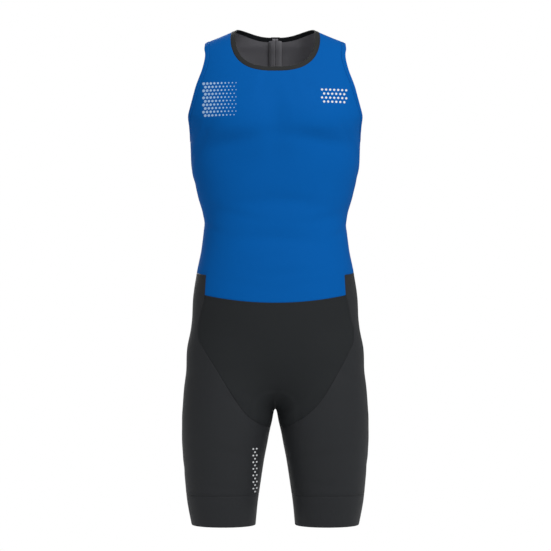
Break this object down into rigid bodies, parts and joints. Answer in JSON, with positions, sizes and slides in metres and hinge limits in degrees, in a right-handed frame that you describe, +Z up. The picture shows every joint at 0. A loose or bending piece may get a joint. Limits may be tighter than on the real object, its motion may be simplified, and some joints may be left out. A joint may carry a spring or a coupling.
{
  "type": "skinsuit",
  "caption": "Sleeveless one-piece triathlon suit with short legs, blue bodice, black shorts, a seat pad and a zip at the centre back, held open in its worn form.",
  "frame": {"origin": "point between the two shoulder seams, where the wearer takes hold of the suit to put it on", "axes": "+Z up, front of the suit faces -Y, +X is the viewer's right from the front"},
  "size_m": [0.3362, 0.2297, 0.8907],
  "materials": {
    "front_body": "matte stretch knit",
    "back_left": "matte stretch knit",
    "back_right": "matte stretch knit",
    "neck_binding": "folded elastic binding",
    "armhole_binding_left": "folded and coverstitched edge",
    "armhole_binding_right": "folded and coverstitched edge",
    "brief_front": "matte stretch knit",
    "brief_seat": "matte stretch knit",
    "leg_left": "matte stretch knit",
    "leg_right": "matte stretch knit",
    "leg_band_left": "elastic gripper band",
    "leg_band_right": "elastic gripper band",
    "seat_pad": "brushed pad cover",
    "zip_tape_left": "woven tape",
    "zip_tape_right": "woven tape",
    "zip_chain": "moulded coil",
    "zip_garage": "folded binding",
    "zip_slider": "dark enamel",
    "pull_tab": "dark enamel"
  },
  "bodies": {
    "suit": {"front_body": "front_body", "back_left": "back_left", "back_right": "back_right", "neck_binding": "neck_binding", "armhole_binding_left": "armhole_binding_left", "armhole_binding_right": "armhole_binding_right", "brief_front": "brief_front", "brief_seat": "brief_seat", "leg_left": "leg_left", "leg_right": "leg_right", "leg_band_left": "leg_band_left", "leg_band_right": "leg_band_right", "seat_pad": "seat_pad", "zip_tape_left": "zip_tape_left", "zip_tape_right": "zip_tape_right", "zip_chain": "zip_chain", "zip_garage": "zip_garage", "zip_slider": "zip_slider"},
    "pull_tab": {"pull_tab": "pull_tab"}
  },
  "joints": [
    {"name": "pull_tab_swing", "type": "hinge", "parent": "suit", "child": "pull_tab", "pos_m": [0, 0.05223, -0.00853], "axis": [1, 0, 0], "range_deg": [0, 140]}
  ]
}
